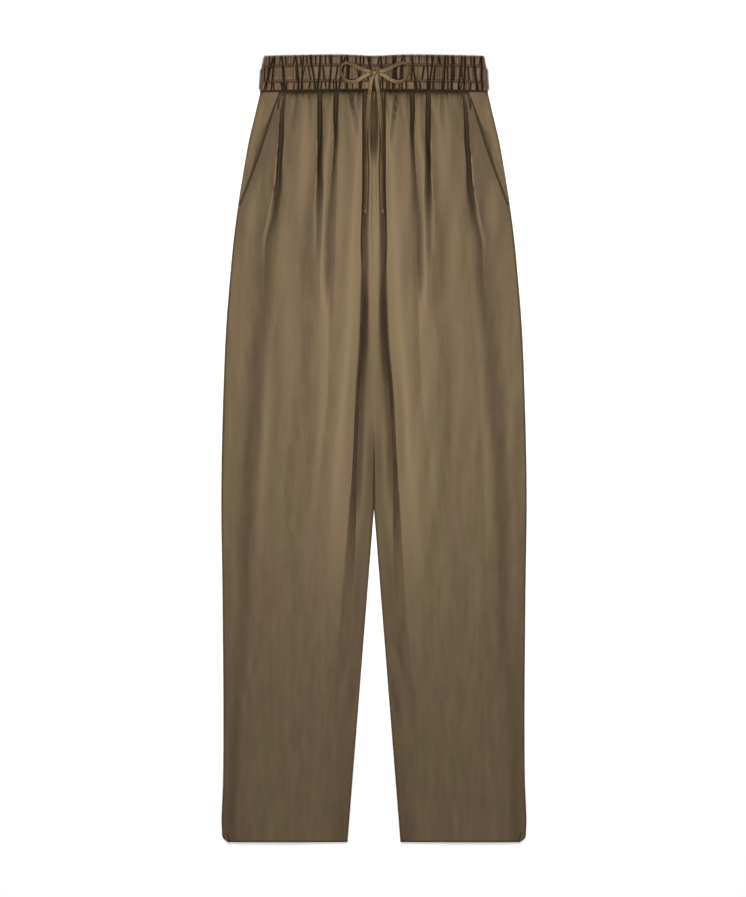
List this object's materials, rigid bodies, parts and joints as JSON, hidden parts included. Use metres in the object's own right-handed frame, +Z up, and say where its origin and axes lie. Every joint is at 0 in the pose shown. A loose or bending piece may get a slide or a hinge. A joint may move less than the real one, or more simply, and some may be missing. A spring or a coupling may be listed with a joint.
{
  "type": "drawstring trousers",
  "caption": "Wide-leg trousers laid flat, with a gathered elastic waistband, a drawstring bow and slanted side pockets.",
  "frame": {"origin": "the middle of the outline, on the surface that the garment lies on", "axes": "+X towards the wearer's left side, +Y from the hems to the waist, +Z up, out of the garment's front"},
  "size_m": [0.411, 1.06, 0.0154],
  "materials": {
    "cloth": "brown satin with a soft sheen",
    "waistband": "brown satin, gathered on elastic",
    "drawstring": "flat satin tape"
  },
  "bodies": {
    "root": {"back_left": "cloth", "back_right": "cloth", "front_left": "cloth", "front_right": "cloth", "pocket_facing_left": "cloth", "pocket_facing_right": "cloth", "waistband_back": "waistband", "waistband_front": "waistband", "drawstring_knot": "drawstring", "drawstring_loop_left": "drawstring", "drawstring_loop_right": "drawstring", "drawstring_tail_left": "drawstring", "drawstring_tail_right": "drawstring", "tail_knot_left": "drawstring", "tail_knot_right": "drawstring"}
  },
  "joints": []
}
